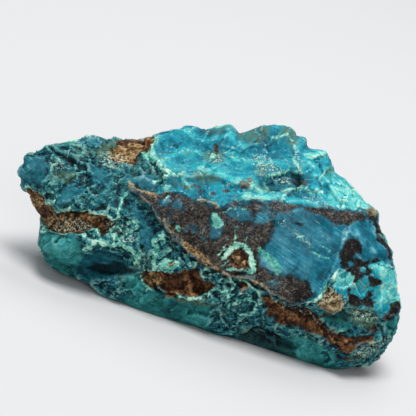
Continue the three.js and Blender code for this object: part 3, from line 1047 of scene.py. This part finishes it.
@dataclass(frozen=True)
class Palette:
    """The stone's colours."""

    azure: Shades = shades(
        (0.3, 0, 62, 78), (0.42, 0, 102, 122), (0.53, 2, 138, 157), (0.64, 44, 166, 174),
        (0.76, 118, 206, 196), (0.92, 194, 236, 218),
    )
    teal: Shades = shades(
        (0.37, 1, 20, 28), (0.44, 2, 54, 68), (0.51, 12, 92, 104), (0.58, 52, 124, 128),
        (0.68, 136, 178, 164),
    )
    # Kept dark, partly as painted shade on the underside strips.
    green: Shades = shades(
        (0.3, 4, 46, 48), (0.43, 14, 88, 90), (0.55, 38, 120, 118), (0.66, 66, 156, 156),
        (0.8, 124, 190, 180),
    )
    slip: Shades = shades(
        (0.3, 0, 66, 84), (0.42, 6, 98, 118), (0.52, 44, 124, 144), (0.62, 98, 154, 164),
        (0.75, 160, 196, 194),
    )
    black: Shades = shades(
        (0.34, 7, 6, 6), (0.44, 26, 23, 22), (0.52, 54, 50, 48), (0.62, 86, 83, 79),
        (0.74, 128, 128, 122),
    )
    brown: Shades = shades(
        (0.37, 18, 8, 3), (0.45, 54, 29, 13), (0.53, 98, 63, 34), (0.62, 146, 110, 70),
        (0.74, 184, 164, 126),
    )
    tan: Shades = shades((0.32, 58, 40, 22), (0.44, 112, 84, 50), (0.54, 152, 124, 82), (0.7, 192, 174, 132))
    mint: Shades = shades(
        (0.36, 14, 92, 86), (0.47, 62, 148, 134), (0.57, 124, 198, 176), (0.68, 206, 236, 216),
    )
    fleck: Shades = shades((0.42, 92, 160, 150), (0.5, 168, 212, 190), (0.6, 226, 240, 220))
    glass: Shades = shades((0.34, 1, 42, 56), (0.45, 10, 84, 98), (0.56, 40, 116, 130), (0.7, 120, 166, 178))
    moss: Colour = tint(84, 98, 62)
    rust: Colour = tint(64, 74, 54)
    umber: Colour = tint(112, 100, 70)
    cream: Colour = tint(200, 222, 204)
    # The colour of the painted shade in hollows and pits.
    painted_shade: Colour = tint(3, 22, 26)


class RockFinish:
    """Chrysocolla with its rims, rust and black crust, from the grounds carried on the mesh."""

    def __init__(self) -> None:
        """Sets up the node tree and the signals that its parts share."""
        self.palette = Palette()
        self.graph = graph = Graph("chrysocolla rock")
        place = graph.add("ShaderNodeTexCoord", {}, {}, "Object")
        self.place = graph.vector("SCALE", {0: place, "Scale": MM})
        self.cloud = graph.noise(self.place, 0.045, 3.0)
        self.mottle = graph.noise(self.place, 0.22, 5.0, 0.6)
        self.grit = graph.noise(self.place, 0.9, 3.0, 0.65)
        self.dust = graph.noise(self.place, 2.2, 2.0, 0.6)
        wander = {"Vector": self.place, "Scale": 0.16, "Detail": 3.0}
        self.bent = graph.shift(self.place, graph.add("ShaderNodeTexNoise", {}, wander, "Color"), 9.0)
        self.specks = graph.noise(self.bent, 0.62, 4.0, 0.7)
        self.bloom = graph.noise(self.bent, 0.1, 4.0, 0.65)
        self.streak = self.scratches()
        self.crest = graph.attribute("crest")
        # Painted highlight on crests and painted shade in pits, from the crest measure, in every ground's
        # tone.
        self.lit = self.crest.rise(-0.9, 1.1) - 0.5
        # The pale ground lightens every ground's tone; partly painted highlights.
        self.pale = graph.attribute("pale").rise(-2.2, 1.2)
        self.tone = self.cloud * 0.6 + self.mottle * 0.4
        right_and_down = Vector(SLAB.axes[0]) * 0.02 - Vector(SLAB.axes[1]) * 0.02
        self.deeper = graph.along(self.place, right_and_down)
        self.left = 1 - self.deeper.rise(0.7, 1.0)

    def scratches(self) -> Signal:
        """Noise drawn out along the slip face, for its fine scratches."""
        right, up, out = (Vector(axis) for axis in SLAB.axes)
        slope = math.radians(-35)
        along = right * math.cos(slope) + up * math.sin(slope)
        turn = Matrix((along * 0.07, out.cross(along) * 1.3, out * 0.3))
        parts = {axis: self.graph.along(self.place, row) for axis, row in enumerate(turn)}
        laid = self.graph.add("ShaderNodeCombineXYZ", {}, parts)
        return self.graph.noise(laid, 1.0, 4.0, 0.6)

    def over(self, ground: Ground, ragged: float, soft: float = 0.35) -> Signal:
        """How much of a ground covers a place: its distance inside, made ragged by the grit."""
        wobble = (self.grit - 0.5) * ragged + (self.mottle - 0.5) * ragged
        return (self.graph.attribute(ground.value) + wobble).rise(-soft, soft)

    def azure(self) -> Signal:
        """Bright mottled blue, under cream specks, rusty hairlines, mossy stains and a painted highlight of
        cream on its crests.
        """
        mix, palette = self.graph.mix, self.palette
        tone = self.tone + self.lit * 0.24 + (self.grit - 0.5) * 0.12 + self.pale * 0.2 + 0.004
        sprinkle = (self.specks * 0.75 + self.cloud * 0.25).rise(0.57, 0.62)
        colour = mix(sprinkle * (0.18 + self.pale * 0.35), tone.ramp(palette.azure), palette.cream)
        colour = mix(self.specks.rise(0.57, 0.62) * self.mottle.rise(0.5, 0.6) * 0.5, colour, palette.cream)
        # Painted highlight: cream on the crests.
        colour = mix(self.crest.rise(0.25, 0.9) * self.specks.rise(0.35, 0.55) * 0.5, colour, palette.cream)
        hair = 1 - (self.graph.cracks(self.bent, 0.11) + (self.grit - 0.5) * 0.12).rise(0.0, 0.035)
        colour = mix(hair * self.bloom.rise(0.42, 0.55) * 0.6, colour, palette.rust)
        stain = (self.cloud + (self.mottle - 0.5) * 1.2).rise(0.6, 0.72)
        return mix(stain * self.specks.rise(0.45, 0.6) * 0.7, colour, palette.moss)

    def teal(self) -> Signal:
        """Dark teal, under moss, a net of pale veins and mint specks."""
        mix, palette = self.graph.mix, self.palette
        tone = self.cloud * 0.12 + self.mottle * 0.33 + self.grit * 0.35 + self.dust * 0.25 + self.lit * 0.28
        moss = (self.cloud + (self.mottle - 0.5) * 0.9).rise(0.52, 0.66) * self.grit.rise(0.45, 0.6)
        colour = mix(moss * 0.5, (tone - 0.028).ramp(palette.teal), palette.moss)
        wall = self.graph.cracks(self.bent, 0.17) + (self.grit - 0.5) * 0.2
        net = (1 - wall.rise(0.01, 0.07)) * self.mottle.rise(0.42, 0.6)
        colour = mix(net * 0.3, colour, self.grit.ramp(palette.mint))
        return mix(self.specks.rise(0.58, 0.64) * 0.42, colour, self.dust.ramp(palette.mint))

    def green(self) -> Signal:
        """Smooth green, with painted shade that darkens it to the right and down, under mint specks."""
        # Painted shade towards the right and down.
        lower_right_shade = self.deeper.rise(1.6, 2.4) * 0.07
        tone = self.tone + self.lit * 0.22 + (self.grit - 0.5) * 0.2 + self.pale * 0.16 - lower_right_shade
        specks, mint = self.specks.rise(0.6, 0.66) * 0.5, self.dust.ramp(self.palette.mint)
        return self.graph.mix(specks, tone.ramp(self.palette.green), mint)

    def slip(self) -> Signal:
        """The slip face's blue, scratched with cream."""
        off = (self.deeper - 0.35).math("ABSOLUTE")
        tone = self.bloom * 0.9 + self.streak * 0.34 + self.lit * 0.3 + self.pale * 0.12 - 0.12 - off * 0.15
        scratch = self.streak.rise(0.62, 0.7) * self.mottle.rise(0.48, 0.62)
        return self.graph.mix(scratch * 0.4, tone.ramp(self.palette.slip), self.palette.cream)

    def lay_crust(self, colour: Signal) -> Signal:
        """Lays the black crust over a colour. Towards the left it is thinner, browner and more streaked."""
        graph, left, grit, mottle = self.graph, self.left, self.grit, self.mottle
        sooty = grit * 0.6 + self.dust * 0.5 + mottle * 0.4 + self.streak * 0.2 + self.lit * 0.3
        black = (sooty * 1.15 + left * 0.1 - 0.57).ramp(self.palette.black)
        black = graph.mix(self.specks.rise(0.52, 0.62) * left * 0.3, black, self.palette.umber)
        thin = self.bloom.rise(0.52, 0.66) * left * 0.4
        faded = graph.attribute("slip").rise(-1.0, 2.0) * left * 2.2
        edge = graph.attribute("black") + (mottle - 0.5) * 5 + (grit - 0.5) * 4 + (self.streak - 0.5) * faded
        crust = (edge + faded * 0.5 + left * 0.15 - 0.15).rise(-0.5, 0.5 + faded)
        return graph.mix(crust * (1 - thin), colour, black)

    def lay_limonite(self, colour: Signal) -> Signal:
        """Lays the brown and the tan limonite over a colour."""
        tone = self.grit * 0.4 + self.dust * 0.2 + self.bloom * 0.25 + self.mottle * 0.3 + self.lit * 0.15
        brown = (tone + self.left * 0.03 - 0.105).ramp(self.palette.brown)
        colour = self.graph.mix(self.over(Ground.BROWN, 5.0, 0.6), colour, brown)
        tan = (self.grit + self.lit * 0.3).ramp(self.palette.tan)
        return self.graph.mix(self.over(Ground.TAN, 3.0, 0.9) * 0.8, colour, tan)

    def lay_flecks(self, colour: Signal) -> Signal:
        """Lays the mossy dapples and the cream flecks over a colour."""
        graph = self.graph
        mossy = self.specks.rise(0.38, 0.5) * self.grit.rise(0.35, 0.5)
        dapple = graph.attribute("dapple").rise(-1.0, 3.0) * mossy
        colour = graph.mix(dapple * 0.8, colour, self.palette.moss)
        fine = (self.grit * 0.5 + self.dust * 0.2 + self.specks * 0.3).rise(0.51, 0.57)
        fleck = graph.attribute("flecks").rise(-1.0, 2.0) * fine
        return graph.mix(fleck * 0.9, colour, self.dust.ramp(self.palette.fleck))

    def colour(self) -> Signal:
        """The base colour, ground over ground, then painted shade in the hollows and pits."""
        mix, palette = self.graph.mix, self.palette
        colour = mix(self.over(Ground.AZURE, 3.5, 1.2), self.teal(), self.azure())
        colour = mix(self.over(Ground.GREEN, 3.0, 1.2), colour, self.green())
        glassy = self.bloom * 0.5 + self.mottle * 0.2 + self.streak * 0.3 + self.lit * 0.3 + self.pale * 0.12
        glass = (glassy - 0.015).ramp(palette.glass)
        colour = mix(self.over(Ground.GLASS, 5.0, 1.2) * 0.85, colour, glass)
        colour = mix(self.over(Ground.SLIP, 0.6), colour, self.slip())
        colour = self.lay_flecks(self.lay_limonite(self.lay_crust(colour)))
        minty = self.mottle * 0.4 + self.grit * 0.35 + self.dust * 0.25 + self.lit * 0.2 + self.pale * 0.08
        mint = (minty + 0.02).ramp(palette.mint)
        colour = mix(self.over(Ground.MINT, 2.6, 0.4) * 0.88, colour, mint)
        # Painted shade in the hollows.
        colour = mix(self.over(Ground.DARK, 2.4, 1.8) * 0.72, colour, palette.painted_shade)
        # Painted shade in pits, where the crest measure is low.
        pit = 1 - self.crest.rise(-1.4, -0.2)
        return mix(pit * 0.45, colour, palette.painted_shade)

    def material(self) -> bpy.types.Material:
        """Builds the finish."""
        slick = self.over(Ground.SLIP, 0.8) * (1 - self.over(Ground.BLACK, 5.0))
        glossy = self.over(Ground.AZURE, 5.0, 1.2)
        rough = 0.62 - slick * 0.3 - glossy * 0.12 + (self.grit - 0.5) * 0.25
        height = self.grit * (1 - slick * 0.85) + self.dust * 0.5 * (1 - slick * 0.8)
        bump = {"Strength": 0.55, "Distance": 0.0009, "Height": height + self.streak * slick * 0.35}
        return self.graph.surface({
            "Base Color": self.colour(),
            "Roughness": rough,
            "Normal": self.graph.add("ShaderNodeBump", {}, bump, "Normal"),
            "Coat Weight": slick * 0.12,
            "Coat Roughness": 0.25,
            "Specular IOR Level": 0.15,
        })


@dataclass(frozen=True)
class Lamp:
    """A square soft light that hangs at a place and looks at a target, in metres."""

    name: str
    place: tuple[float, float, float]
    size: float
    watts: float
    target: tuple[float, float, float] = (0.0, 0.0, 0.05)

    def hang(self) -> None:
        """Hangs the light."""
        light = bpy.data.lights.new(self.name, "AREA")
        light.energy = self.watts
        light.size = self.size
        lamp = bpy.data.objects.new(self.name, light)
        lamp.location = self.place
        sight = Vector(self.target) - Vector(self.place)
        lamp.rotation_euler = sight.to_track_quat("-Z", "Y").to_euler()
        bpy.context.scene.collection.objects.link(lamp)


@dataclass(frozen=True)
class Studio:
    """The pale floor, the soft lights and air, and the camera, which sees view_width mm of the best face."""

    floor: Colour = tint(196, 196, 197)
    air: Colour = tint(228, 230, 232)
    air_strength: float = 0.42
    view_width: float = 208.0
    lamps: tuple[Lamp, ...] = (
        Lamp("key light", (-0.1, -0.4, 2.8), size=1.2, watts=77.0),
        Lamp("fill light", (0.6, -3.4, 1.6), size=1.6, watts=30.0),
        Lamp("back light", (0.2, 1.0, 1.5), size=1.0, watts=10.0, target=(0.1, 0.7, 0.0)),
    )

    def lay_floor(self) -> None:
        """Lays a plain pale floor under the stone."""
        bpy.ops.mesh.primitive_plane_add(size=6.0, location=(0, 0, 0))
        plane = bpy.context.active_object
        plane.name = "studio_floor"
        plane.data.materials.append(Graph("pale floor").surface({"Base Color": self.floor, "Roughness": 0.9}))

    def set_camera(self) -> None:
        """Sets the camera square to the best face, rolled with it."""
        lens = bpy.data.cameras.new("camera")
        lens.sensor_width = 36.0
        lens.lens = lens.sensor_width * SLAB.sight / self.view_width
        camera = bpy.data.objects.new("camera", lens)
        spot = SLAB.to_rest(np.array([[*SLAB.centre, SLAB.sight]]))[0]
        columns = Matrix([tuple(axis) for axis in SLAB.axes]).transposed().to_4x4()
        camera.matrix_world = Matrix.Translation(Vector(spot)) @ columns
        bpy.context.scene.collection.objects.link(camera)
        bpy.context.scene.camera = camera

    def build(self) -> None:
        """Sets up the whole studio."""
        self.lay_floor()
        self.set_camera()
        for lamp in self.lamps:
            lamp.hang()
        world = bpy.data.worlds.new("soft air")
        world.use_nodes = True
        air = world.node_tree.nodes["Background"].inputs
        air["Color"].default_value = self.air
        air["Strength"].default_value = self.air_strength
        bpy.context.scene.world = world
        bpy.context.scene.view_settings.view_transform = "Standard"


def main() -> None:
    """Builds the stone and its studio."""
    logging.basicConfig(level=logging.INFO, format="%(message)s")
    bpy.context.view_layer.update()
    Studio().build()
    LOG.info("studio set")
    piece = Rock().build()
    LOG.info("%s: %d corners, %d faces", piece.name, len(piece.data.vertices), len(piece.data.polygons))


if __name__ == "__main__":
    main()
